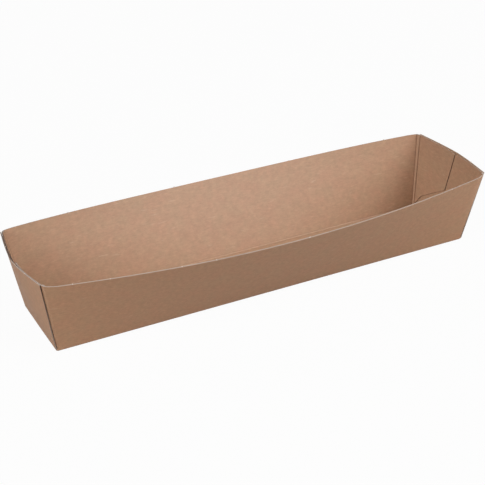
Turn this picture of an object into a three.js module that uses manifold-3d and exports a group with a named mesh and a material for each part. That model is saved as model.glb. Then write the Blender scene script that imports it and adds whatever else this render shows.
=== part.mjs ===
// A long, low food tray folded from one sheet of kraft board, in millimetres, +Z up.
// The origin is the middle of the floor's underside, and the tray runs along X.
//
// The flat blank is a floor with four walls hinged on its edges. Each side wall carries a glue tab
// at either end. The walls fold up, the tabs turn in behind the end walls and are glued there, and
// the board's own stiffness bows every wall outwards between its corners.
import * as THREE from 'three';
import Module from 'manifold-3d';

const wasm = await Module();
wasm.setup();

// The board and the floor
const board = 0.5; // thickness of the sheet
const floorLength = 228; // crease to crease
const floorWidth = 44; // crease to crease

// The side walls. The height is measured up the sloping board, and it is the same all along the
// wall, so the rim dips where the wall leans out furthest. Leans are in degrees from upright.
const sideHeight = 41;
const sideCornerLean = 10;
const sideMiddleLean = 27;
const sideFullness = 2.05; // 2 is a parabola, and more is flatter in the middle
const cornerEaseLean = 2.3; // how much of the lean is gained in the soft turn beside each corner
const cornerEaseLength = 7; // how far along the wall that turn lasts

// The end walls
const endCornerLean = 8.8;
const endMiddleLean = 14.6;
const endFullness = 1.42; // near 1 is a kink, where the two tabs meet behind the wall
const slitAtFoot = 0.3; // from the corner in to the wall's cut edge, at the floor
const slitAtRim = 0.7; // the same, at the rim

// The creases
const creaseReach = 1.3; // from the sharp corner to where the board is flat again
const beadRise = 0.25; // how far the bead inside a fold stands above the chord across it

// The glue tabs
const tabGap = 0.8; // between the free edges of the two tabs at one end
const tabCornerDrop = 0.2; // how far the tab's upper edge lies below the rim, beside its crease
const tabFreeDrop = 0.9; // the same, by the free edge
const tabFreeRise = 18.9; // from the floor crease up to the lower corner of the free edge
const tabChamferRise = 8.2; // from the floor crease up to the chamfer's upper end
const tabChamferRun = 6.2; // from the corner in to the chamfer's upper end
const tabFootRise = 2.2; // from the floor crease up to the chamfer's lower end
const glueBite = 0.12; // how deep a tab is bedded in its end wall, so that the two are one solid

// How finely the curves are divided
const foldSteps = 4;
const sideColumns = 44;
const endColumns = 20;
const endRows = 4;
const tabColumns = 7;
const chamferColumns = 2;

const radians = THREE.MathUtils.degToRad;
const vec = (x, y, z) => new THREE.Vector3(x, y, z);
const spaced = (count, from, to) =>
  Array.from({ length: count + 1 }, (_, k) => THREE.MathUtils.lerp(from, to, k / count));

// Sizes that follow from the ones above
const halfLength = floorLength / 2;
const halfWidth = floorWidth / 2;
const rimZ = sideHeight * Math.cos(radians(sideCornerLean));
const endHeight = rimZ / Math.cos(radians(endCornerLean));
const sideFlare = sideHeight * Math.sin(radians(sideCornerLean));
const endFlare = endHeight * Math.sin(radians(endCornerLean));
const halfLengthAt = (v) => halfLength + endFlare * v;
const halfWidthAt = (v) => halfWidth + sideFlare * v;

// The tab's outer face lies one board inside the outer face of its end wall. The crease between a
// side wall and its tab lies between wallEnd on the wall and tabStart on the tab.
const tabInset = board / Math.cos(radians(endCornerLean));
const footV = creaseReach / sideHeight;
const wallEnd = (v) => 1 - (tabInset + creaseReach) / halfLengthAt(v);
const tabStart = (v) => 1 - creaseReach / halfWidthAt(v);

// Stations along a tab, as shares of the way from the middle of the end wall to the tab's crease
const chamferV = tabChamferRise / endHeight;
const chamferShare = (1 - tabChamferRun / halfWidthAt(chamferV)) / tabStart(chamferV);
const freeShare = tabGap / 2 / halfWidthAt(1) / tabStart(1);
const tabShares = [
  ...spaced(tabColumns, freeShare, chamferShare),
  ...spaced(chamferColumns, chamferShare, 1).slice(1),
];

// The outer face of a side wall: s runs along it from -1 at one corner to 1 at the other, and v from
// 0 at the floor crease to 1 at the rim
function sideFace(side, s, v) {
  const bowStart = sideCornerLean + cornerEaseLean;
  const bow = (sideMiddleLean - bowStart) * (1 - Math.abs(s) ** sideFullness);
  const fromCorner = (1 - Math.abs(s)) * halfLength;
  const ease = cornerEaseLean * Math.max(0, 1 - fromCorner / cornerEaseLength) ** 2;
  const lean = radians(bowStart + bow - ease);
  const out = halfWidth + sideHeight * v * Math.sin(lean);
  return vec(s * halfLengthAt(v), side * out, sideHeight * v * Math.cos(lean));
}

// The outer face of an end wall, in the same way, with t running across it
function endFace(end, t, v) {
  const bow = (endMiddleLean - endCornerLean) * (1 - Math.abs(t) ** endFullness);
  const lean = radians(endCornerLean + bow);
  const out = halfLength + endHeight * v * Math.sin(lean);
  return vec(end * out, t * halfWidthAt(v), endHeight * v * Math.cos(lean));
}

// The point at some depth straight below an outer face, towards the inside of the tray
function beneath(face, which, u, v, depth) {
  const step = 1e-3;
  const point = face(which, u, v);
  const along = face(which, u + step, v).sub(face(which, u - step, v));
  const up = face(which, u, v + step).sub(face(which, u, v - step));
  const normal = along.cross(up).normalize();
  const facesOut = normal.x * point.x + normal.y * point.y > 0;
  return point.addScaledVector(normal, facesOut ? -depth : depth);
}

// The section of a fold from one flat part to the next, each given as an outer and an inner point:
// rounded outside, where the board is stretched, with the crease's bead standing up inside
function foldSection(first, corner, last) {
  const outside = new THREE.QuadraticBezierCurve3(first.outer, corner, last.outer);
  const chord = first.inner.clone().add(last.inner).multiplyScalar(0.5);
  const away = chord.clone().sub(corner).normalize();
  const crown = chord.addScaledVector(away, 2 * beadRise);
  const inside = new THREE.QuadraticBezierCurve3(first.inner, crown, last.inner);
  return { outer: outside.getPoints(foldSteps), inner: inside.getPoints(foldSteps) };
}

// A pair of points on a tab, at a share of the way from the middle of the end wall to the crease
function onTab(side, end, share, v) {
  const t = side * share * tabStart(v);
  return {
    outer: beneath(endFace, end, t, v, board - glueBite),
    inner: beneath(endFace, end, t, v, 2 * board),
  };
}

// The fold between a side wall and its tab, from height wallV on the one to tabV on the other
function cornerSection(side, end, wallV, tabV) {
  const s = end * wallEnd(wallV);
  const onWall = {
    outer: sideFace(side, s, wallV),
    inner: beneath(sideFace, side, s, wallV, board),
  };
  const middleV = (wallV + tabV) / 2;
  const corner = sideFace(side, end * (1 - tabInset / halfLengthAt(middleV)), middleV);
  return foldSection(onWall, corner, onTab(side, end, 1, tabV));
}

// One column of the channel made by the floor and both side walls. q runs from -1 at one end of the
// channel to 1 at the other.
function channelColumn(q) {
  const halves = [-1, 1].map((side) => {
    const foot = q * wallEnd(footV);
    const rim = q * wallEnd(1);
    const crease = sideFace(side, foot, footV).setY(side * halfWidth).setZ(0);
    const flat = vec(crease.x, side * (halfWidth - creaseReach), 0);
    const onFloor = { outer: flat, inner: flat.clone().setZ(board) };
    const onWall = {
      outer: sideFace(side, foot, footV),
      inner: beneath(sideFace, side, foot, footV, board),
    };
    const fold = foldSection(onFloor, crease, onWall);
    return {
      outer: [...fold.outer, sideFace(side, rim, 1)],
      inner: [...fold.inner, beneath(sideFace, side, rim, 1, board)],
    };
  });
  return {
    outer: [...halves[0].outer.reverse(), ...halves[1].outer],
    inner: [...halves[0].inner.reverse(), ...halves[1].inner],
  };
}

// One column of an end wall, from the floor to the rim. p runs from -1 to 1 across the wall, whose
// upright edges are cut and stop short of the corners, so a narrow slit shows the tab's crease.
function endWallColumn(end, p) {
  const across = (v) => p * (1 - THREE.MathUtils.lerp(slitAtFoot, slitAtRim, v) / halfWidthAt(v));
  const y = p * (halfWidth - creaseReach);
  const flat = vec(end * (halfLength - creaseReach), y, 0);
  const underFloor = vec(end * (halfLength - 2 * creaseReach - tabInset), y, 0);
  const onFloor = { outer: flat, inner: flat.clone().setZ(board) };
  const onWall = spaced(endRows, creaseReach / endHeight, 1).map((v) => ({
    outer: endFace(end, across(v), v),
    inner: beneath(endFace, end, across(v), v, board),
  }));
  const fold = foldSection(onFloor, endFace(end, across(0), 0), onWall[0]);
  const above = onWall.slice(1);
  return {
    outer: [underFloor, ...fold.outer, ...above.map((pair) => pair.outer)],
    inner: [underFloor.clone().setZ(board), ...fold.inner, ...above.map((pair) => pair.inner)],
  };
}

// A tab and its crease. The lower edge climbs a chamfer from the corner, and then rises more gently
// to the free edge. The upper edge lies a little below the rim.
function tab(side, end) {
  const foot = cornerSection(side, end, footV, tabFootRise / endHeight);
  const rim = cornerSection(side, end, 1, 1 - tabCornerDrop / endHeight);
  const crease = foot.outer.map((point, k) => ({
    outer: [point, rim.outer[k]],
    inner: [foot.inner[k], rim.inner[k]],
  }));
  const flat = tabShares.slice(0, -1).reverse().map((share) => {
    const rise = share > chamferShare
      ? THREE.MathUtils.mapLinear(share, 1, chamferShare, tabFootRise, tabChamferRise)
      : THREE.MathUtils.mapLinear(share, chamferShare, freeShare, tabChamferRise, tabFreeRise);
    const drop = THREE.MathUtils.lerp(tabFreeDrop, tabCornerDrop, share);
    const low = onTab(side, end, share, rise / endHeight);
    const high = onTab(side, end, share, 1 - drop / endHeight);
    return { outer: [low.outer, high.outer], inner: [low.inner, high.inner] };
  });
  return slab([...crease, ...flat]);
}

// A closed slab of board. Every column has the same number of outer points, and an inner one for each.
function slab(columns) {
  const rows = columns[0].outer.length;
  const points = columns.flatMap((column) => [...column.outer, ...column.inner]);
  const outer = (i, j) => i * 2 * rows + j;
  const inner = (i, j) => outer(i, j) + rows;
  const triangles = [];
  const quad = (a, b, c, d) => triangles.push(a, b, c, a, c, d);
  const lastColumn = columns.length - 1;
  const lastRow = rows - 1;
  for (let i = 0; i < lastColumn; i++) {
    for (let j = 0; j < lastRow; j++) {
      quad(outer(i, j), outer(i + 1, j), outer(i + 1, j + 1), outer(i, j + 1));
      quad(inner(i, j), inner(i, j + 1), inner(i + 1, j + 1), inner(i + 1, j));
    }
    quad(outer(i, 0), inner(i, 0), inner(i + 1, 0), outer(i + 1, 0));
    quad(outer(i, lastRow), outer(i + 1, lastRow), inner(i + 1, lastRow), inner(i, lastRow));
  }
  for (let j = 0; j < lastRow; j++) {
    quad(outer(0, j), outer(0, j + 1), inner(0, j + 1), inner(0, j));
    quad(outer(lastColumn, j), inner(lastColumn, j), inner(lastColumn, j + 1), outer(lastColumn, j + 1));
  }
  return solidFrom(points, triangles);
}

// A solid from points and triangles, turned the right way out if it is inside out
function solidFrom(points, triangles) {
  let sixVolumes = 0;
  for (let k = 0; k < triangles.length; k += 3) {
    const [a, b, c] = [0, 1, 2].map((n) => points[triangles[k + n]]);
    sixVolumes += a.dot(b.clone().cross(c));
  }
  const facing = sixVolumes < 0 ? triangles.slice().reverse() : triangles;
  const mesh = new wasm.Mesh({
    numProp: 3,
    vertProperties: new Float32Array(points.flatMap((p) => p.toArray())),
    triVerts: new Uint32Array(facing),
  });
  return new wasm.Manifold(mesh);
}

// The columns of the channel crowd towards its ends, where the side walls turn in to the corners
function foldedTray() {
  const stations = spaced(sideColumns, -Math.PI / 2, Math.PI / 2).map(Math.sin);
  const channel = slab(stations.map(channelColumn));
  const endWalls = [-1, 1].map((end) =>
    slab(spaced(endColumns, -1, 1).map((p) => endWallColumn(end, p))));
  const tabs = [-1, 1].flatMap((side) => [-1, 1].map((end) => tab(side, end)));
  return [...endWalls, ...tabs].reduce((whole, piece) => whole.add(piece), channel);
}

function geometryOf(solid) {
  const { vertProperties, triVerts } = solid.getMesh();
  const geometry = new THREE.BufferGeometry();
  geometry.setAttribute('position', new THREE.BufferAttribute(vertProperties, 3));
  geometry.setIndex(new THREE.BufferAttribute(triVerts, 1));
  geometry.computeVertexNormals();
  return geometry;
}

const kraftBoard = new THREE.MeshStandardMaterial({
  name: 'kraft_board',
  color: '#b08e72',
  roughness: 0.88,
  metalness: 0,
  flatShading: true,
});

const tray = new THREE.Mesh(geometryOf(foldedTray()), kraftBoard);
tray.name = 'folded_tray';

const model = new THREE.Group();
model.add(tray);

export default model;
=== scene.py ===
# %% [markdown]
# # A long food tray folded from one sheet of kraft board
# The tray is one flat blank of brown board, creased, folded up and glued at its corners. Every step
# below starts with a note like this one: what the piece or finish is on the real tray, how it could be
# made in Blender, and why one way was picked. Lengths are named in millimetres, because that is how
# a carton maker thinks, and turned to metres when a mesh is made.

# %% Load the fixed frame
import math

import bpy
import numpy as np
from mathutils import Matrix, Vector


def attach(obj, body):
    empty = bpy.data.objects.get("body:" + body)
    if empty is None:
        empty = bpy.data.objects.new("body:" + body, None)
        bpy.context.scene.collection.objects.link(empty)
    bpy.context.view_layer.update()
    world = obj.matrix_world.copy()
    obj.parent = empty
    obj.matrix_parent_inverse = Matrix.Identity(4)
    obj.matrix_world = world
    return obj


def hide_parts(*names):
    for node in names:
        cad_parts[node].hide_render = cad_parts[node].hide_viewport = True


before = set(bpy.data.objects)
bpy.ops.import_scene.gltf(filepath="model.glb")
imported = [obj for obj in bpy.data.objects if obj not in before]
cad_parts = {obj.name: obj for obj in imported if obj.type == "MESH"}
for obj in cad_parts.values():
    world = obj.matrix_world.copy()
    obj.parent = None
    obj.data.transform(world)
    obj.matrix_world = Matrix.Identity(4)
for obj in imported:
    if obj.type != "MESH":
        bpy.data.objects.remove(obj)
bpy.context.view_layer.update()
scene = bpy.context.scene
scene.view_settings.view_transform = "Standard"
MM = 0.001

# %% [markdown]
# ## The camera
# The tray was seen from its front left corner, from a little above. The camera's place came from
# matching the tray's eight corners, so it is written here as plain numbers: where it stands, which
# way it looks, and how long its lens is. The picture is square, and nothing is shifted.

# %% Camera
camera_data = bpy.data.cameras.new("camera")
camera_data.sensor_width = 36
camera_data.lens = 90.37
camera_data.clip_start = 0.01
look = Vector((0.40033, 0.78244, -0.47700)).normalized()
right = Vector((0.88730, -0.46105, -0.01160))
right = (right - look * right.dot(look)).normalized()
up = right.cross(look)
camera = bpy.data.objects.new("camera", camera_data)
turned = Matrix((right, up, -look)).transposed().to_4x4()
camera.matrix_world = Matrix.Translation((-0.25070, -0.47824, 0.31020)) @ turned
scene.collection.objects.link(camera)
scene.camera = camera
print("camera lens", camera_data.lens, "mm")

# %% [markdown]
# ## The sizes of the blank
# The floor is 228 by 44 mm between its creases. Side walls are 41 mm up the slope. At a corner they
# lean out by 10 degrees, and half-way along by 27, because folding the ends upright pushes the board
# into a bow. The ends do the same, but less. The creases at the ends and corners take up 1.3 mm on either
# side, and the two long ones beside the floor 0.9 mm.

# %% Sizes in millimetres and degrees
board = 0.5
half_length = 114.0
half_width = 22.0
side_height = 41.0
side_corner_lean = math.radians(10)
side_middle_lean = math.radians(27)
side_fullness = 2.05
corner_ease = math.radians(2.3)
corner_ease_length = 7.0
end_corner_lean = math.radians(8.8)
end_middle_lean = math.radians(14.6)
end_fullness = 1.42
crease_reach = 1.3
floor_crease_reach = 0.9
# The bead inside a fold, and the painted shade of the pressed groove on either side of it (at the floor's
# creases it is a share of a full one)
bead_rise = 0.3
floor_bead_rise = 0.15
groove_shade_width = 0.22
floor_groove_shade = 0.4
# The slit between an end wall and the corner crease, and how far the cut edge lifts off the tab
slit_at_foot = 0.2
slit_at_rim = 0.85
back_slit_at_rim = 0.4
edge_lift = 0.12
# The tabs: drops are measured down from the rim, rises up from the floor, and runs from the middle line
glue_film = 0.06
tab_gap = 0.8
tab_corner_drop = 0.2
tab_free_drop = 0.9
tab_foot_rise = 2.2
tab_chamfer_rise = 8.2
tab_chamfer_run = 6.2
tab_free_rise = 18.9

rim_height = side_height * math.cos(side_corner_lean)
end_height = rim_height / math.cos(end_corner_lean)
side_flare = side_height * math.sin(side_corner_lean)
end_flare = end_height * math.sin(end_corner_lean)
tab_inset = board / math.cos(end_corner_lean)
foot_v = floor_crease_reach / side_height
end_foot_v = crease_reach / end_height
print("rim height at the corners", round(rim_height, 2), "mm")

# %% [markdown]
# ## Folding the blank
# A folded sheet could be modelled panel by panel, but then its corners never quite meet. Here one grid
# of points covers the whole sheet, and each point knows two places: on the outer face and on the inner
# face of the board. First the walls are folded up straight, with the lean that they have at the corners.
# The bow between the corners comes afterwards, from Geometry Nodes.
#
# Each point also carries its place on the flat blank. The paper's pattern is drawn from that, so it
# runs on round every fold as it does on the real sheet.


# %% Points on the straight folded walls
def half_length_at(v):
    return half_length + end_flare * v


def half_width_at(v):
    return half_width + side_flare * v


def on_side_wall(side, x, v, depth):
    """A point on a side wall, at height v from 0 to 1 and some depth under its outer face."""
    out = half_width + side_height * v * math.sin(side_corner_lean) - depth * math.cos(side_corner_lean)
    rise = side_height * v * math.cos(side_corner_lean) + depth * math.sin(side_corner_lean)
    return np.array((x, side * out, rise))


def on_end_wall(end, y, v, depth):
    """The same on an end wall."""
    out = half_length + end_height * v * math.sin(end_corner_lean) - depth * math.cos(end_corner_lean)
    rise = end_height * v * math.cos(end_corner_lean) + depth * math.sin(end_corner_lean)
    return np.array((end * out, y, rise))


def bezier(a, b, c, turn):
    return (1 - turn) ** 2 * a + 2 * turn * (1 - turn) * b + turn ** 2 * c


def smooth(value):
    value = min(max(value, 0.0), 1.0)
    return value * value * (3 - 2 * value)


print("side rim at a corner", on_side_wall(1, half_length_at(1), 1, 0).round(2), "mm")

# %% [markdown]
# A crease is where the board was pressed along a line so that it folds there. Outside it turns on a soft
# radius. Inside, the pressed plies pile up into a bead along the fold. Both are short curves: the outer
# one is pulled towards the sharp corner, and the inner one stands a little above the straight line
# across it.
#
# A point of the sheet is a dictionary: its outer place, inner place and place on the blank, how much each
# wall's bow moves it, and how much bead, painted groove shade or painted edge shade its surface shows.


# %% A point of the sheet, and a fold between two of them
# Beside each fold the pressed groove is painted shade
groove_shade_turn = 0.12  # the share of a fold, at each side, that the pressed groove takes up


def sheet_point(outer, inner, blank, side_share=0.0, side_turn=0.0, end_share=0.0, end_turn=0.0, bead=0.0,
                groove_shade=0.0, shade=0.0):
    return {
        "outer": np.array(outer, float),
        "inner": np.array(inner, float),
        "blank": np.array((blank[0], blank[1], 0.0)),
        "side_share": side_share,
        "side_turn": side_turn,
        "end_share": end_share,
        "end_turn": end_turn,
        "bead": bead,
        "groove_shade": groove_shade,
        "shade": shade,
    }


def mixed(first, last, turn):
    """The point some way from one sheet point to another, in every one of its values."""
    return {key: first[key] * (1 - turn) + last[key] * turn for key in first}


def folded(first, corner, last, turn, rise=bead_rise, with_groove_shade=1.0):
    """A point on the fold between two flat points, with the bead inside and painted shade in its grooves."""
    point = mixed(first, last, turn)
    point["outer"] = bezier(first["outer"], corner, last["outer"], turn)
    chord = (first["inner"] + last["inner"]) / 2
    away = (chord - corner) / np.linalg.norm(chord - corner)
    point["inner"] = bezier(first["inner"], chord + away * 2 * rise, last["inner"], turn)
    point["side_turn"] = first["side_turn"] + (last["side_turn"] - first["side_turn"]) * smooth(turn)
    point["end_turn"] = first["end_turn"] + (last["end_turn"] - first["end_turn"]) * smooth(turn)
    point["bead"] = 16 * (turn * (1 - turn)) ** 2
    point["groove_shade"] = with_groove_shade * max(0.0, 1 - min(turn, 1 - turn) / groove_shade_turn)
    return point


print("a point holds", list(sheet_point((0, 0, 0), (0, 0, board), (0, 0))))

# %% [markdown]
# The channel is the floor with both side walls. It is laid out in rows along the tray: up one wall, over
# the floor and up the other. The rows crowd at the creases, and the columns crowd at the ends, where the
# walls turn in to the corners.

# %% The channel: rows and columns
fold_steps = 6
wall_rows = 14
floor_rows = 26
side_columns = 120
floor_crowding = 0.8  # 0 would space the floor rows evenly, 1 crowds them most at its edges
row_by_fold = 0.008  # one more row of the wall, and of the floor, close beside each fold
floor_row_by_fold = 0.985
fold_turns = [k / fold_steps for k in range(fold_steps + 1)]
wall_steps = [0.0, row_by_fold] + [k / wall_rows for k in range(1, wall_rows + 1)]
wall_rises = [foot_v + (1 - foot_v) * step for step in wall_steps]
floor_shares = [math.sin(math.pi / 2 * (2 * k / floor_rows - 1) * floor_crowding)
                / math.sin(math.pi / 2 * floor_crowding) for k in range(floor_rows + 1)]
floor_shares = sorted(floor_shares + [-floor_row_by_fold, floor_row_by_fold])
column_shares = [math.sin(math.pi / 2 * (2 * k / side_columns - 1)) for k in range(side_columns + 1)]
print("columns", len(column_shares), "floor rows", len(floor_shares), "wall rows", len(wall_rises))


# %% The channel: its points
def wall_reach(v):
    """How far along the side wall its flat part goes, before the crease to the tab."""
    return half_length_at(v) - tab_inset - crease_reach


def beside(distance):
    """How much of the painted shade in the pressed groove shows at some distance from the start of a fold."""
    return math.exp(-((distance / groove_shade_width) ** 2))


def floor_point(q, p):
    x = q * wall_reach(0)
    y = p * (half_width - floor_crease_reach)
    # The painted shade of the grooves beside the floor's creases
    near = floor_groove_shade * max(beside((1 - abs(p)) * (half_width - floor_crease_reach)),
                              beside((1 - abs(q)) * wall_reach(0)))
    return sheet_point((x, y, 0), (x, y, board), (x, y), side_share=x / half_length, end_share=p, groove_shade=near)


def side_wall_point(side, q, v):
    x = q * wall_reach(v)
    flat = side * (half_width + side_height * v)
    share = x / half_length_at(v)
    # The painted shade of the grooves beside the wall's creases
    near = max(beside((1 - abs(q)) * wall_reach(v)), floor_groove_shade * beside((v - foot_v) * side_height))
    return sheet_point(on_side_wall(side, x, v, 0), on_side_wall(side, x, v, board), (x, flat),
                       side_share=share, side_turn=1.0, end_share=side, groove_shade=near)


def side_fold_point(side, q, turn):
    corner = np.array((q * wall_reach(0), side * half_width, 0))
    return folded(floor_point(q, side), corner, side_wall_point(side, q, foot_v), turn,
                  floor_bead_rise, floor_groove_shade)


def channel_column(q):
    left = [side_wall_point(-1, q, v) for v in reversed(wall_rises)]
    left += [side_fold_point(-1, q, turn) for turn in reversed(fold_turns[:-1])]
    middle = [floor_point(q, p) for p in floor_shares[1:-1]]
    far = [side_fold_point(1, q, turn) for turn in fold_turns]
    far += [side_wall_point(1, q, v) for v in wall_rises[1:]]
    return left + middle + far


print("points in a column of the channel", len(channel_column(0.0)))

# %% [markdown]
# An end wall hinges on the floor and is cut free at both sides, from the corner up. The cut edge lifts a
# little off the tab behind it, as glued board does where no glue reaches, which puts the slit at each
# corner in shade. At the left end the cut edge along the slit also gets painted shade.

# %% The end walls
lift_from = 0.8  # the share of the way to its cut edge from which an end wall lifts
# The painted shade on the cut edges of the left end, along the slits and behind the middle of the rim
slit_shade_at_foot = 0.35
slit_shade_at_rim = 0.95
rim_shade = 0.8
rim_shade_from = 0.03
end_rises = [end_foot_v + (1 - end_foot_v) * step for step in wall_steps]


def end_wall_point(end, p, v):
    widest = slit_at_rim if p < 0 else back_slit_at_rim
    slit = slit_at_foot + (widest - slit_at_foot) * v
    y = p * (half_width_at(v) - slit)
    lift = edge_lift * smooth((abs(p) - lift_from) / (1 - lift_from)) * smooth(v * 3)
    flat = end * (half_length + end_height * v)
    dim = 0.0
    if end < 0 and v == 1 and p > rim_shade_from:
        dim = rim_shade
    elif end < 0 and abs(p) == 1:
        dim = slit_shade_at_foot + (slit_shade_at_rim - slit_shade_at_foot) * v
    # The painted shade of the groove beside the foot crease
    return sheet_point(on_end_wall(end, y, v, -lift), on_end_wall(end, y, v, board - lift), (flat, y),
                       end_share=y / half_width_at(v), end_turn=1.0,
                       groove_shade=floor_groove_shade * beside((v - end_foot_v) * end_height), shade=dim)


def end_fold_point(end, p, turn):
    corner = np.array((end * half_length, p * (half_width - floor_crease_reach / 2), 0))
    return folded(floor_point(end, p), corner, end_wall_point(end, p, end_foot_v), turn,
                  floor_bead_rise, floor_groove_shade)


def end_wall_column(end, p):
    return ([end_fold_point(end, p, turn) for turn in fold_turns]
            + [end_wall_point(end, p, v) for v in end_rises[1:]])


print("points in a column of an end wall", len(end_wall_column(1, 0.0)))

# %% [markdown]
# A glue tab grows out of each end of a side wall, turns in behind the end wall and is stuck there. Its
# lower edge climbs a steep chamfer from the corner and then a gentle slope to the free edge. At the left
# end the two plies part at the rim, in front of the middle, which the tray shows as a dark gap.

# %% The tabs: sizes
tab_columns = 18
chamfer_steps = (0.06, 0.12, 0.3, 0.5, 0.75, 1)
chamfer_v = tab_chamfer_rise / end_height
chamfer_share = (half_width_at(chamfer_v) - tab_chamfer_run) / (half_width_at(chamfer_v) - crease_reach)
free_share = tab_gap / 2 / (half_width_at(1) - crease_reach)
ply_part = 0.75  # mm between the plies at the rim, where they part most
ply_part_reach = 0.42  # the share of the end wall's half width over which they part
ply_part_from = 0.6  # the height, as a share of the wall, from which they part
tab_edge_shade = 0.7
tab_rim_from = 0.97  # the height from which the shade of the rim takes in the tab
print("the chamfer ends", round(chamfer_share, 3), "of the way from the middle line to the crease")


# %% The tabs: their points
def tab_run(share, v):
    """The distance from the middle line of the end wall, for a share of the way to the crease."""
    return share * (half_width_at(v) - crease_reach)


def tab_edges(share):
    """The heights of the tab's lower and upper edge."""
    if share > chamfer_share:
        part = (1 - share) / (1 - chamfer_share)
        low = tab_foot_rise + (tab_chamfer_rise - tab_foot_rise) * part
    else:
        part = (chamfer_share - share) / (chamfer_share - free_share)
        low = tab_chamfer_rise + (tab_free_rise - tab_chamfer_rise) * part
    drop = tab_free_drop + (tab_corner_drop - tab_free_drop) * share
    return low / end_height, 1 - drop / end_height


def tab_point(side, end, share, v, dim=0.0):
    y = side * tab_run(share, v)
    t = y / half_width_at(v)
    parted = 0.0
    if end < 0 and side < 0:
        along = max(0, 1 - abs(t) / ply_part_reach)
        upward = max(0, v - ply_part_from) / (1 - ply_part_from)
        parted = ply_part * along * upward
    depth = board + glue_film + parted
    # The painted shade of the groove beside the tab's crease
    near = beside((1 - share) * (half_width_at(v) - crease_reach))
    if end < 0 and side > 0 and v > tab_rim_from:
        dim = max(dim, rim_shade)
    flat_x = end * (half_length_at(v) + half_width_at(v) - abs(y))
    flat_y = side * (half_width + side_height * v)
    return sheet_point(on_end_wall(end, y, v, depth), on_end_wall(end, y, v, depth + board),
                       (flat_x, flat_y), side_share=end, end_share=t, end_turn=1.0, groove_shade=near, shade=dim)


def tab_fold_point(side, end, row, turn):
    """A point on the crease between a side wall and its tab. row runs from 0 at the foot to 1."""
    wall_v = foot_v + (1 - foot_v) * row
    low, high = tab_edges(1)
    tab_v = low + (high - low) * row
    middle_v = (wall_v + tab_v) / 2
    corner = on_side_wall(side, end * (half_length_at(middle_v) - tab_inset), middle_v, 0)
    return folded(side_wall_point(side, end, wall_v), corner, tab_point(side, end, 1, tab_v), turn)


def tab_grid(side, end):
    turns = [k / (2 * fold_steps) for k in range(2 * fold_steps + 1)]
    columns = [[tab_fold_point(side, end, row, turn) for row in wall_steps] for turn in turns]
    shares = [1 + (chamfer_share - 1) * k for k in chamfer_steps]
    shares += [chamfer_share + (free_share - chamfer_share) * k / tab_columns
               for k in range(1, tab_columns + 1)]
    for share in shares:
        low, high = tab_edges(share)
        free_edge = share == shares[-1]
        columns.append([tab_point(side, end, share, low + (high - low) * row,
                                  tab_edge_shade if free_edge or row == 0 else 0.0) for row in wall_steps])
    return columns


print("columns of a tab", len(tab_grid(1, 1)))

# %% [markdown]
# At each bottom corner three creases run together and the board is squeezed into a small blunt cup. A
# Coons patch makes it: a grid whose four sides are curves that are already there (the ends of the two
# floor creases and the foot of the tab's crease) and one free edge, the bottom of the slit.

# %% The cup at a bottom corner
cup_knob = (0.25, 0.1, 0.45)  # mm outwards along X, outwards along Y and up from the floor's sharp corner


def corner_cup(side, end):
    steps = fold_turns
    along_side_fold = [side_fold_point(side, end, turn) for turn in steps]
    along_end_fold = [end_fold_point(end, side, turn) for turn in steps]
    under_tab_fold = [tab_fold_point(side, end, 0, turn / 2) for turn in steps]
    start, stop = along_end_fold[-1], under_tab_fold[-1]
    slit_bottom = [mixed(start, stop, turn) for turn in steps]
    knob = np.array((end * (half_length + cup_knob[0]), side * (half_width + cup_knob[1]), cup_knob[2]))
    pulled = knob / 2 + (start["outer"] + stop["outer"]) / 4
    for point, turn in zip(slit_bottom, steps):
        point["outer"] = bezier(start["outer"], pulled, stop["outer"], turn)
    grid = []
    for i, u in enumerate(steps):
        column = []
        for j, w in enumerate(steps):
            point = {}
            for key in start:
                ruled_one = (1 - u) * along_side_fold[j][key] + u * slit_bottom[j][key]
                ruled_two = (1 - w) * along_end_fold[i][key] + w * under_tab_fold[i][key]
                flat = ((1 - u) * (1 - w) * along_side_fold[0][key] + (1 - u) * w * along_side_fold[-1][key]
                        + u * (1 - w) * slit_bottom[0][key] + u * w * slit_bottom[-1][key])
                point[key] = ruled_one + ruled_two - flat
            column.append(point)
        grid.append(column)
    return grid


print("points along each side of a cup", len(corner_cup(1, 1)))

# %% [markdown]
# All the grids are now joined into one mesh. Neighbouring grids have the same points along their shared
# edge, so points that lie in the same place are merged. The outer skin is laid down first. Then the inner
# skin is added, turned over, and the two are sewn together along every cut edge. Those edge faces
# get the second material slot, because a raw die-cut edge looks paler and greyer than the face.

# %% Join the grids
grids = [[channel_column(q) for q in column_shares]]
for end in (-1, 1):
    grids.append([end_wall_column(end, p) for p in floor_shares])
    for side in (-1, 1):
        grids.append(tab_grid(side, end))
        grids.append(corner_cup(side, end))

points = []
index_at = {}
quads = []
for grid in grids:
    numbers = []
    for column in grid:
        row = []
        for point in column:
            key = tuple(np.round(np.concatenate((point["outer"], point["inner"])), 5))
            if key not in index_at:
                index_at[key] = len(points)
                points.append(point)
            row.append(index_at[key])
        numbers.append(row)
    for first, last in zip(numbers, numbers[1:]):
        for k in range(len(first) - 1):
            quads.append((first[k], last[k], last[k + 1], first[k + 1]))
print("points of the sheet", len(points), "faces", len(quads))


# %% Turn every face outwards
def facing_out(quad):
    """The quad in the order that makes its outer face point away from the board."""
    a, b, c, d = (points[k]["outer"] for k in quad)
    into_board = sum(points[k]["inner"] - points[k]["outer"] for k in quad)
    normal = np.cross(c - a, d - b)
    return quad if normal.dot(into_board) < 0 else quad[::-1]


quads = [facing_out(quad) for quad in quads if len(set(quad)) == 4]
print("faces of one skin", len(quads))

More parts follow.
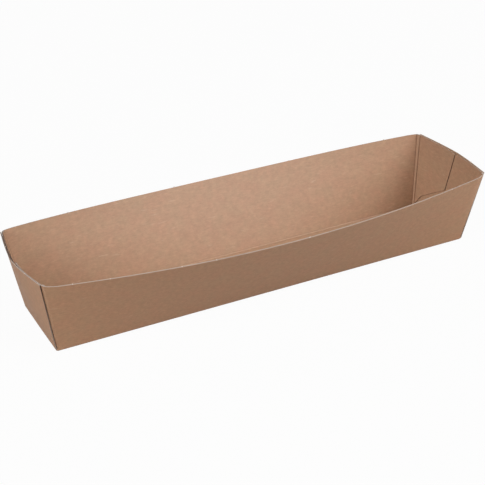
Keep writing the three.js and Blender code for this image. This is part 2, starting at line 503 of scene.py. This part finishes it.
# %% Build both skins and the cut edges
# Two neighbouring faces run along their shared edge in opposite ways, so an edge that is run along in one
# way only is where the die cut
count = len(points)
edges_run = {(a, b): True for quad in quads for a, b in zip(quad, quad[1:] + quad[:1])}
raw_edges = [(a, b) for a, b in edges_run if (b, a) not in edges_run]
faces = quads + [tuple(k + count for k in reversed(quad)) for quad in quads]
faces += [(b, a, a + count, b + count) for a, b in raw_edges]
verts = [point["outer"] * MM for point in points] + [point["inner"] * MM for point in points]
sheet_mesh = bpy.data.meshes.new("folded_sheet")
sheet_mesh.from_pydata([tuple(v) for v in verts], [], faces)
sheet_mesh.validate()
print("raw edge faces", len(raw_edges))

# %% [markdown]
# The values that each point carries become named attributes of the mesh, which both the Geometry Nodes
# and the material can read. The inner skin gets a blank place one step further along Z, so that the
# inside of the sheet shows another piece of the paper's pattern than the outside.

# %% Attributes for the nodes and the material
for name in ("side_share", "side_turn", "end_share", "end_turn", "bead", "groove_shade", "shade"):
    layer = sheet_mesh.attributes.new(name, "FLOAT", "POINT")
    layer.data.foreach_set("value", [float(point[name]) for point in points] * 2)
inside_step = 40.0  # mm, several times the size of the largest cloud in the paper
blank = sheet_mesh.attributes.new("blank", "FLOAT_VECTOR", "POINT")
outside_places = [point["blank"] for point in points]
inside_places = [place + np.array((0, 0, inside_step)) for place in outside_places]
blank.data.foreach_set("vector", np.array(outside_places + inside_places, np.float32).ravel())
inside = sheet_mesh.attributes.new("inside", "FLOAT", "POINT")
inside.data.foreach_set("value", [0.0] * count + [1.0] * count)
sheet = bpy.data.objects.new("folded_tray_sheet", sheet_mesh)
scene.collection.objects.link(sheet)
print("attributes", [a.name for a in sheet_mesh.attributes if not a.name.startswith(".")])

# %% [markdown]
# ## Helpers for nodes
# Colours are written as sRGB hex values, as a designer picks them, and turned into the linear values
# that Blender works in. One small function adds a node to any tree, with its settings and links. Another
# gives the empty tree of a material or of the world.


# %% Helpers for colours and nodes
def colour(text):
    """An sRGB hex colour as linear RGBA."""
    parts = [int(text[k:k + 2], 16) / 255 for k in (1, 3, 5)]
    linear = [c / 12.92 if c <= 0.04045 else ((c + 0.055) / 1.055) ** 2.4 for c in parts]
    return (*linear, 1.0)


def add(tree, kind, settings=None, **inputs):
    """Adds a node. Settings are its own properties, and inputs are values or sockets, by name or number."""
    node = tree.nodes.new(kind)
    for name, value in (settings or {}).items():
        setattr(node, name, value)
    for name, value in inputs.items():
        socket = node.inputs[int(name[1:])] if name[0] == "i" and name[1:].isdigit() else node.inputs[name]
        if isinstance(value, bpy.types.NodeSocket):
            tree.links.new(value, socket)
        else:
            socket.default_value = value
    return node


def emptied_tree(owner):
    """The node tree of a material or world, with nothing in it."""
    owner.use_nodes = True
    owner.node_tree.nodes.clear()
    return owner.node_tree


print("a kraft brown in linear values", [round(part, 3) for part in colour("#af866b")])

# %% [markdown]
# ## Kraft board
# Uncoated kraft board is pressed from long brown wood fibres. What the eye sees is a matt brown with soft
# cloudy mottling a few millimetres across, finer streaks along the machine direction, a few pale fibre
# flecks, and a paler tone on the creases, with painted shade in the pressed grooves beside them. Real fibres
# are about 0.03 mm thick, too fine to show at this distance, so the streaks are drawn about 0.65 mm wide
# and three times as long.
#
# The pattern is read from the blank's own coordinates, in millimetres, so 1 / size is a noise scale: 7 mm
# clouds, 2.4 mm mottling, 0.65 mm streaks and 1.1 mm flecks, five times as long.

# %% Kraft board: clouds, mottling and streaks
kraft = bpy.data.materials.new("uncoated_kraft_board_pressed")
tree = emptied_tree(kraft)
place = add(tree, "ShaderNodeAttribute", {"attribute_name": "blank"}).outputs["Vector"]
inside_face = add(tree, "ShaderNodeAttribute", {"attribute_name": "inside"}).outputs["Fac"]
on_bead = add(tree, "ShaderNodeAttribute", {"attribute_name": "bead"}).outputs["Fac"]

clouds = add(tree, "ShaderNodeTexNoise", Vector=place, Scale=1 / 7, Detail=4.0, Roughness=0.6)
cloud_mix = add(tree, "ShaderNodeMapRange", Value=clouds.outputs["Fac"],
                **{"From Min": 0.36, "From Max": 0.64})
mottle = add(tree, "ShaderNodeTexNoise", Vector=place, Scale=1 / 2.4, Detail=5.0, Roughness=0.65)
streak_place = add(tree, "ShaderNodeMapping", Vector=place, Rotation=(0, 0, 0.12), Scale=(0.3, 1.0, 1.0))
streaks = add(tree, "ShaderNodeTexNoise", Vector=streak_place.outputs["Vector"], Scale=1 / 0.65, Detail=3.0,
              Roughness=0.7)

base = add(tree, "ShaderNodeMix", {"data_type": "RGBA"}, i0=cloud_mix.outputs["Result"],
           i6=colour("#af866b"), i7=colour("#ac886c"))
# The face turned inwards is a little paler and cooler than the one turned outwards
face_tone = add(tree, "ShaderNodeMix", {"data_type": "RGBA"}, i0=inside_face,
                i6=colour("#fff7ec"), i7=colour("#fcffff"))
toned = add(tree, "ShaderNodeMix", {"data_type": "RGBA", "blend_type": "MULTIPLY"}, i0=1.0,
            i6=base.outputs[2], i7=face_tone.outputs[2])
light_grain = add(tree, "ShaderNodeMapRange", Value=mottle.outputs["Fac"],
                  **{"From Min": 0.3, "From Max": 0.7, "To Min": 0.92, "To Max": 1.08})
fine_grain = add(tree, "ShaderNodeMapRange", Value=streaks.outputs["Fac"],
                 **{"From Min": 0.3, "From Max": 0.7, "To Min": 0.905, "To Max": 1.095})
grain = add(tree, "ShaderNodeMath", {"operation": "MULTIPLY"}, i0=light_grain.outputs["Result"],
            i1=fine_grain.outputs["Result"])
grained = add(tree, "ShaderNodeVectorMath", {"operation": "SCALE"}, i0=toned.outputs[2],
              Scale=grain.outputs[0])
print("nodes with the grain", len(tree.nodes))

# %% Kraft board: flecks, folds and the surface
fleck_place = add(tree, "ShaderNodeMapping", Vector=place, Rotation=(0, 0, 0.2), Scale=(0.18, 1.0, 1.0))
flecks = add(tree, "ShaderNodeTexNoise", Vector=fleck_place.outputs["Vector"], Scale=1 / 1.1, Detail=1.0)
fleck_mask = add(tree, "ShaderNodeMapRange", Value=flecks.outputs["Fac"],
                 **{"From Min": 0.69, "From Max": 0.80, "To Max": 0.26})
flecked = add(tree, "ShaderNodeMix", {"data_type": "RGBA"}, i0=fleck_mask.outputs["Result"],
              i6=grained.outputs["Vector"], i7=colour("#cdb39a"))

# A little paler on the beads, and painted shade down in the pressed grooves beside them
bead_pale_share = 0.08
groove_shade_share = 0.6
bead_pale = add(tree, "ShaderNodeMath", {"operation": "MULTIPLY"}, i0=on_bead, i1=bead_pale_share)
pale_on_beads = add(tree, "ShaderNodeMix", {"data_type": "RGBA"}, i0=bead_pale.outputs[0],
             i6=flecked.outputs[2], i7=colour("#c4a88e"))
groove_shade_mask = add(tree, "ShaderNodeAttribute", {"attribute_name": "groove_shade"}).outputs["Fac"]
inside_groove_shade = add(tree, "ShaderNodeMath", {"operation": "MULTIPLY"}, i0=groove_shade_mask, i1=inside_face)
groove_shade_depth = add(tree, "ShaderNodeMath", {"operation": "MULTIPLY"}, i0=inside_groove_shade.outputs[0],
                   i1=groove_shade_share)
with_groove_shade = add(tree, "ShaderNodeMix", {"data_type": "RGBA"}, i0=groove_shade_depth.outputs[0],
              i6=pale_on_beads.outputs[2], i7=colour("#5a3d2c"))

bump = add(tree, "ShaderNodeBump", Strength=0.35, Distance=0.00006, Height=streaks.outputs["Fac"])
surface = add(tree, "ShaderNodeBsdfPrincipled", Roughness=0.5, IOR=1.45, Normal=bump.outputs["Normal"],
              **{"Base Color": with_groove_shade.outputs[2], "Specular IOR Level": 0.6})
add(tree, "ShaderNodeOutputMaterial", Surface=surface.outputs[0])
print("kraft board nodes", len(tree.nodes))

# %% [markdown]
# ## The raw cut edge
# Where the die cut through the board, its inner plies show: paler, greyer and fuzzier than the face, with
# a fine grain about a millimetre long. Where two plies lie close, as along a slit, the cut is in their
# shade, and an attribute darkens it there.

# %% Cut edge material
cut_edge = bpy.data.materials.new("raw_die_cut_board_edge")
tree = emptied_tree(cut_edge)
place = add(tree, "ShaderNodeAttribute", {"attribute_name": "blank"}).outputs["Vector"]
fuzz = add(tree, "ShaderNodeTexNoise", Vector=place, Scale=1 / 0.9, Detail=3.0, Roughness=0.7)
edge_colour = add(tree, "ShaderNodeMix", {"data_type": "RGBA"}, i0=fuzz.outputs["Fac"],
                  i6=colour("#9e8c80"), i7=colour("#b5a69b"))
shaded = add(tree, "ShaderNodeAttribute", {"attribute_name": "shade"}).outputs["Fac"]
edge_colour = add(tree, "ShaderNodeMix", {"data_type": "RGBA"}, i0=shaded, i6=edge_colour.outputs[2],
                  i7=colour("#5f4c40"))
surface = add(tree, "ShaderNodeBsdfPrincipled", Roughness=0.95,
              **{"Base Color": edge_colour.outputs[2], "Specular IOR Level": 0.15})
add(tree, "ShaderNodeOutputMaterial", Surface=surface.outputs[0])
print("cut edge nodes", len(tree.nodes))

# %% [markdown]
# ## The bow of the walls
# The board resists being folded, so between the glued corners every wall springs outwards, and furthest
# half-way along. That is a rule with a few numbers, so a Geometry Nodes tree does it: each point turns
# about the hinge of its own wall by an angle that fades towards the corners. Its inputs can be moved later
# to try a flatter or a fuller tray without touching the mesh.
#
# Two helpers come first. One starts a tree with named inputs. The other runs a tree on an object, with the
# modifier's inputs set by their sockets' identifiers, and keeps the result as a plain mesh.


# %% Helpers for Geometry Nodes
def geometry_tree(name, inputs):
    """A Geometry Nodes tree with named inputs, given as names and socket types."""
    tree = bpy.data.node_groups.new(name, "GeometryNodeTree")
    tree.interface.new_socket("Geometry", in_out="OUTPUT", socket_type="NodeSocketGeometry")
    tree.interface.new_socket("Geometry", in_out="INPUT", socket_type="NodeSocketGeometry")
    for label, kind in inputs.items():
        tree.interface.new_socket(label, in_out="INPUT", socket_type=kind)
    return tree


def grow(thing, tree, values):
    """Runs a Geometry Nodes tree on an object, and keeps the result as its plain mesh."""
    modifier = thing.modifiers.new(tree.name, "NODES")
    modifier.node_group = tree
    for item in tree.interface.items_tree:
        if item.in_out == "INPUT" and item.name in values:
            modifier[item.identifier] = values[item.name]
    bpy.context.view_layer.update()
    evaluated = thing.evaluated_get(bpy.context.evaluated_depsgraph_get())
    mesh = bpy.data.meshes.new_from_object(evaluated)
    thing.modifiers.clear()
    thing.data = mesh
    return mesh


# %% The bow tree: its inputs
bow_sizes = {
    "Half Length": half_length,
    "Half Width": half_width,
    "Side Bow": side_middle_lean - side_corner_lean - corner_ease,
    "Side Fullness": side_fullness,
    "Corner Ease": corner_ease,
    "Ease Length": corner_ease_length,
    "End Bow": end_middle_lean - end_corner_lean,
    "End Fullness": end_fullness,
}
bow = geometry_tree("bow_the_walls", {name: "NodeSocketFloat" for name in bow_sizes})
for name, size in bow_sizes.items():
    print(name, round(size, 4))

# %% The bow tree: what it reads from the mesh
given = add(bow, "NodeGroupInput").outputs
side_share, side_turn, end_share, end_turn = (
    add(bow, "GeometryNodeInputNamedAttribute", {"data_type": "FLOAT"}, Name=name).outputs[0]
    for name in ("side_share", "side_turn", "end_share", "end_turn"))
here = add(bow, "GeometryNodeInputPosition").outputs[0]
apart = add(bow, "ShaderNodeSeparateXYZ", Vector=here).outputs
print("nodes that read", len(bow.nodes))

# %% The bow tree: the side walls
# Each turns by 1 - |share| ^ fullness of its bow, and makes a quick turn beside each corner
share = add(bow, "ShaderNodeMath", {"operation": "ABSOLUTE"}, i0=side_share).outputs[0]
power = add(bow, "ShaderNodeMath", {"operation": "POWER"}, i0=share, i1=given["Side Fullness"]).outputs[0]
fade = add(bow, "ShaderNodeMath", {"operation": "SUBTRACT", "use_clamp": True}, i0=1.0, i1=power).outputs[0]
long_bow = add(bow, "ShaderNodeMath", {"operation": "MULTIPLY"}, i0=fade, i1=given["Side Bow"]).outputs[0]
left_over = add(bow, "ShaderNodeMath", {"operation": "SUBTRACT", "use_clamp": True}, i0=1.0,
                i1=share).outputs[0]
from_corner = add(bow, "ShaderNodeMath", {"operation": "MULTIPLY"}, i0=left_over,
                  i1=given["Half Length"]).outputs[0]
ratio = add(bow, "ShaderNodeMath", {"operation": "DIVIDE", "use_clamp": True}, i0=from_corner,
            i1=given["Ease Length"]).outputs[0]
short = add(bow, "ShaderNodeMath", {"operation": "SUBTRACT"}, i0=1.0, i1=ratio).outputs[0]
squared = add(bow, "ShaderNodeMath", {"operation": "POWER"}, i0=short, i1=2.0).outputs[0]
eased = add(bow, "ShaderNodeMath", {"operation": "SUBTRACT"}, i0=1.0, i1=squared).outputs[0]
short_bow = add(bow, "ShaderNodeMath", {"operation": "MULTIPLY"}, i0=eased,
                i1=given["Corner Ease"]).outputs[0]
side_bow = add(bow, "ShaderNodeMath", {"operation": "ADD"}, i0=long_bow, i1=short_bow).outputs[0]
side_sign = add(bow, "ShaderNodeMath", {"operation": "SIGN"}, i0=apart[1]).outputs[0]
side_weight = add(bow, "ShaderNodeMath", {"operation": "MULTIPLY"}, i0=side_turn, i1=side_sign).outputs[0]
side_angle = add(bow, "ShaderNodeMath", {"operation": "MULTIPLY"}, i0=side_bow, i1=side_weight).outputs[0]
side_angle = add(bow, "ShaderNodeMath", {"operation": "MULTIPLY"}, i0=side_angle, i1=-1.0).outputs[0]
side_out = add(bow, "ShaderNodeMath", {"operation": "MULTIPLY"}, i0=side_sign,
               i1=given["Half Width"]).outputs[0]
side_out = add(bow, "ShaderNodeMath", {"operation": "MULTIPLY"}, i0=side_out, i1=MM).outputs[0]
side_hinge = add(bow, "ShaderNodeCombineXYZ", Y=side_out).outputs[0]
leant = add(bow, "ShaderNodeVectorRotate", {"rotation_type": "X_AXIS"}, Vector=here, Center=side_hinge,
            Angle=side_angle).outputs[0]
print("nodes with the side walls", len(bow.nodes))

# %% The bow tree: the end walls, and the tabs glued to them
# They turn in the same way, but with no quick turn at the corners
share = add(bow, "ShaderNodeMath", {"operation": "ABSOLUTE"}, i0=end_share).outputs[0]
power = add(bow, "ShaderNodeMath", {"operation": "POWER"}, i0=share, i1=given["End Fullness"]).outputs[0]
fade = add(bow, "ShaderNodeMath", {"operation": "SUBTRACT", "use_clamp": True}, i0=1.0, i1=power).outputs[0]
end_bow = add(bow, "ShaderNodeMath", {"operation": "MULTIPLY"}, i0=fade, i1=given["End Bow"]).outputs[0]
end_sign = add(bow, "ShaderNodeMath", {"operation": "SIGN"}, i0=apart[0]).outputs[0]
end_weight = add(bow, "ShaderNodeMath", {"operation": "MULTIPLY"}, i0=end_turn, i1=end_sign).outputs[0]
end_angle = add(bow, "ShaderNodeMath", {"operation": "MULTIPLY"}, i0=end_bow, i1=end_weight).outputs[0]
end_out = add(bow, "ShaderNodeMath", {"operation": "MULTIPLY"}, i0=end_sign,
              i1=given["Half Length"]).outputs[0]
end_out = add(bow, "ShaderNodeMath", {"operation": "MULTIPLY"}, i0=end_out, i1=MM).outputs[0]
end_hinge = add(bow, "ShaderNodeCombineXYZ", X=end_out).outputs[0]
leant = add(bow, "ShaderNodeVectorRotate", {"rotation_type": "Y_AXIS"}, Vector=leant, Center=end_hinge,
            Angle=end_angle).outputs[0]
print("nodes with the end walls", len(bow.nodes))

# %% The bow tree: its end
moved = add(bow, "GeometryNodeSetPosition", Geometry=given["Geometry"], Position=leant).outputs[0]
real = add(bow, "GeometryNodeRealizeInstances", Geometry=moved).outputs[0]
finished = add(bow, "GeometryNodeSetMaterial", Geometry=real, Material=kraft).outputs[0]
# The first faces of the mesh are the two skins, and all the rest are its cut edges
face_number = add(bow, "GeometryNodeInputIndex").outputs[0]
is_edge = add(bow, "FunctionNodeCompare", {"data_type": "INT", "operation": "GREATER_EQUAL"}, i2=face_number,
              i3=2 * len(quads)).outputs[0]
finished = add(bow, "GeometryNodeSetMaterial", Geometry=finished, Selection=is_edge,
               Material=cut_edge).outputs[0]
add(bow, "NodeGroupOutput", Geometry=finished)
print("bow tree", len(bow.nodes), "nodes")

# %% [markdown]
# The tree is run on the sheet with the sizes above, and the result becomes a plain mesh. It is shaded
# smooth, so that the folds look round, and left sharp only where the skins meet the cut edges.

# %% Bow the sheet
sharp_angle = math.radians(38)
tray_mesh = grow(sheet, bow, {name: float(size) for name, size in bow_sizes.items()})
tray_mesh.polygons.foreach_set("use_smooth", [True] * len(tray_mesh.polygons))
tray_mesh.set_sharp_from_angle(angle=sharp_angle)
print("tray mesh", len(tray_mesh.polygons), "faces", [m.name for m in tray_mesh.materials])

# %% [markdown]
# ## The nicks along the rim
# While the blank lies in its sheet, a few tiny bridges hold it there. When it is broken out, each bridge
# leaves a torn tuft of fibres on the cut edge, a little over half a millimetre across and paler than the
# edge. They repeat along the rim, so Geometry Nodes put one small lump on each of a few points, turned and
# scaled at random from a fixed seed. The points are taken from the rim of the finished sheet.

# %% Torn fibre material
torn_fibre = bpy.data.materials.new("torn_board_fibre")
tree = emptied_tree(torn_fibre)
surface = add(tree, "ShaderNodeBsdfPrincipled", Roughness=0.95,
              **{"Base Color": colour("#c9bbaf"), "Specular IOR Level": 0.15})
add(tree, "ShaderNodeOutputMaterial", Surface=surface.outputs[0])
print("torn fibre nodes", len(tree.nodes))

# %% Points for the nicks
# Each is a share of the way from the middle of a wall's rim to its corner
front_nicks = (-0.89, -0.75, -0.46, -0.32, 0.07, 0.80)
back_nicks = (-0.7, -0.2, 0.35, 0.82)
end_nicks = (-0.44, 0.44)
rim_outer = {"side_-1": [], "side_1": [], "end_-1": [], "end_1": []}
for number, point in enumerate(points):
    placed = tray_mesh.vertices[number].co / MM
    on_rim = point["outer"][2] > rim_height - 0.01
    if on_rim and point["side_turn"] == 1.0 and point["end_turn"] == 0.0:
        rim_outer[f"side_{int(math.copysign(1, placed.y))}"].append((point["side_share"], number))
    elif on_rim and point["end_turn"] == 1.0 and point["side_turn"] == 0.0:
        rim_outer[f"end_{int(math.copysign(1, placed.x))}"].append((point["end_share"], number))


def rim_place(edge, share):
    """The middle of the cut edge nearest to a share of the way along one wall's rim."""
    number = min(rim_outer[edge], key=lambda entry: abs(entry[0] - share))[1]
    return (tray_mesh.vertices[number].co + tray_mesh.vertices[number + count].co) / 2


nick_places = [rim_place("side_-1", share) for share in front_nicks]
nick_places += [rim_place("side_1", share) for share in back_nicks]
nick_places += [rim_place(edge, share) for edge in ("end_-1", "end_1") for share in end_nicks]
nick_mesh = bpy.data.meshes.new("nick_points")
nick_mesh.from_pydata([tuple(place) for place in nick_places], [], [])
nicks = bpy.data.objects.new("die_cut_nicks", nick_mesh)
scene.collection.objects.link(nicks)
print("nicks", len(nick_places))

# %% A tree that puts a torn tuft on each point
tuft_size = 0.36  # mm from the middle of a lump to its skin, before it is scaled
tuft_seed = 4
tufts = geometry_tree("torn_tufts", {"Tuft Size": "NodeSocketFloat", "Seed": "NodeSocketInt"})
given = add(tufts, "NodeGroupInput").outputs
lump = add(tufts, "GeometryNodeMeshIcoSphere", Radius=given["Tuft Size"], Subdivisions=2).outputs[0]
turned = add(tufts, "FunctionNodeRandomValue", {"data_type": "FLOAT_VECTOR"}, i0=(0, 0, 0),
             i1=(6.28, 6.28, 6.28), Seed=given["Seed"]).outputs[0]
sized = add(tufts, "FunctionNodeRandomValue", {"data_type": "FLOAT_VECTOR"}, i0=(0.6, 0.8, 0.6),
            i1=(1.0, 1.5, 1.0), Seed=given["Seed"]).outputs[0]
placed = add(tufts, "GeometryNodeInstanceOnPoints", Points=given["Geometry"], Instance=lump, Rotation=turned,
             Scale=sized).outputs[0]
real = add(tufts, "GeometryNodeRealizeInstances", Geometry=placed).outputs[0]
finished = add(tufts, "GeometryNodeSetMaterial", Geometry=real, Material=torn_fibre).outputs[0]
add(tufts, "NodeGroupOutput", Geometry=finished)
tuft_mesh = grow(nicks, tufts, {"Tuft Size": tuft_size * MM, "Seed": tuft_seed})
print("tuft faces", len(tuft_mesh.polygons))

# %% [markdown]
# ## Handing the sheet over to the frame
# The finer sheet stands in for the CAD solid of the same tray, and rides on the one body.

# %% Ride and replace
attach(sheet, "root")
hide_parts("folded_tray")
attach(nicks, "root")
print("handed over", sheet.name, nicks.name)

# %% [markdown]
# ## Floor, backdrop and light
# The tray stands on a white sweep in soft light. The floor shows almost white to the camera, and keeps a
# faint shadow. What it throws back on the tray is only that of light grey paper. Gloss picks up a quarter
# of the white, so that it doesn't wash out the matt board.

# %% Floor and world
reach = 3.0  # metres from the middle of the floor to its edges
drop = -0.0001  # just under the tray, so that the two faces don't fight
white_to_camera = 0.96
white_to_gloss = 0.25
floor_mesh = bpy.data.meshes.new("floor")
floor_mesh.from_pydata([(x * reach, y * reach, drop) for x, y in ((-1, -1), (1, -1), (1, 1), (-1, 1))], [],
                       [(0, 1, 2, 3)])
floor = bpy.data.objects.new("floor", floor_mesh)
scene.collection.objects.link(floor)
paper = bpy.data.materials.new("white_paper_sweep")
tree = emptied_tree(paper)
rays = add(tree, "ShaderNodeLightPath").outputs
white = add(tree, "ShaderNodeBsdfDiffuse", Color=colour("#b9b9b7"))
glow = add(tree, "ShaderNodeEmission", Color=(1, 1, 1, 1), Strength=1.0)
mirrored = add(tree, "ShaderNodeMath", {"operation": "MULTIPLY"}, i0=rays["Is Glossy Ray"],
               i1=white_to_gloss)
through = add(tree, "ShaderNodeMath", {"operation": "MAXIMUM"}, i0=rays["Is Camera Ray"],
              i1=rays["Is Transmission Ray"])
seen = add(tree, "ShaderNodeMath", {"operation": "MAXIMUM"}, i0=through.outputs[0], i1=mirrored.outputs[0])
share = add(tree, "ShaderNodeMath", {"operation": "MULTIPLY"}, i0=seen.outputs[0], i1=white_to_camera)
blend = add(tree, "ShaderNodeMixShader", i0=share.outputs[0], i1=white.outputs[0], i2=glow.outputs[0])
add(tree, "ShaderNodeOutputMaterial", Surface=blend.outputs[0])
floor_mesh.materials.append(paper)
print("floor", 2 * reach, "m across")

# %% World
world = bpy.data.worlds.new("studio")
scene.world = world
tree = emptied_tree(world)
rays = add(tree, "ShaderNodeLightPath").outputs
mirrored = add(tree, "ShaderNodeMath", {"operation": "MULTIPLY"}, i0=rays["Is Glossy Ray"],
               i1=white_to_gloss)
through = add(tree, "ShaderNodeMath", {"operation": "MAXIMUM"}, i0=rays["Is Camera Ray"],
              i1=rays["Is Transmission Ray"])
seen = add(tree, "ShaderNodeMath", {"operation": "MAXIMUM"}, i0=through.outputs[0], i1=mirrored.outputs[0])
soft = add(tree, "ShaderNodeBackground", Color=(1, 1, 1, 1), Strength=0.02)
bright = add(tree, "ShaderNodeBackground", Color=(1, 1, 1, 1), Strength=1.0)
blend = add(tree, "ShaderNodeMixShader", i0=seen.outputs[0], i1=soft.outputs[0], i2=bright.outputs[0])
add(tree, "ShaderNodeOutputWorld", Surface=blend.outputs[0])
print("world nodes", len(tree.nodes))

# %% [markdown]
# The lamps are large, so that shade is soft, and white. Those at the right and the ones at the left share
# the light on the near walls. The one behind is a fill for the far side, and hardly shows from the camera.
# Together their level is such that the board's colour renders about as it is written.

# %% Lamps
middle_of_tray = Vector((0, 0, 0.02))
lamps = (  # name, place and size in metres, and power in watts
    ("high_right", (0.65, -0.9, 0.95), 0.6, 8.95),
    ("low_right", (0.45, -1.2, 0.48), 0.5, 2.25),
    ("far_right", (1.0, -0.5, 0.8), 0.8, 7.8),
    ("left", (-1.2, -0.25, 0.75), 0.7, 12.1),
    ("near_left", (-0.4, -0.35, 0.6), 0.3, 1.0),
    ("behind", (0.45, 1.2, 0.7), 0.6, 4.5),
)
for name, place, size, power in lamps:
    data = bpy.data.lights.new(name, "AREA")
    data.size = size
    data.energy = power
    lamp = bpy.data.objects.new(name, data)
    lamp.location = place
    lamp.rotation_euler = (middle_of_tray - Vector(place)).to_track_quat("-Z", "Y").to_euler()
    scene.collection.objects.link(lamp)
print("lamps", len(lamps))
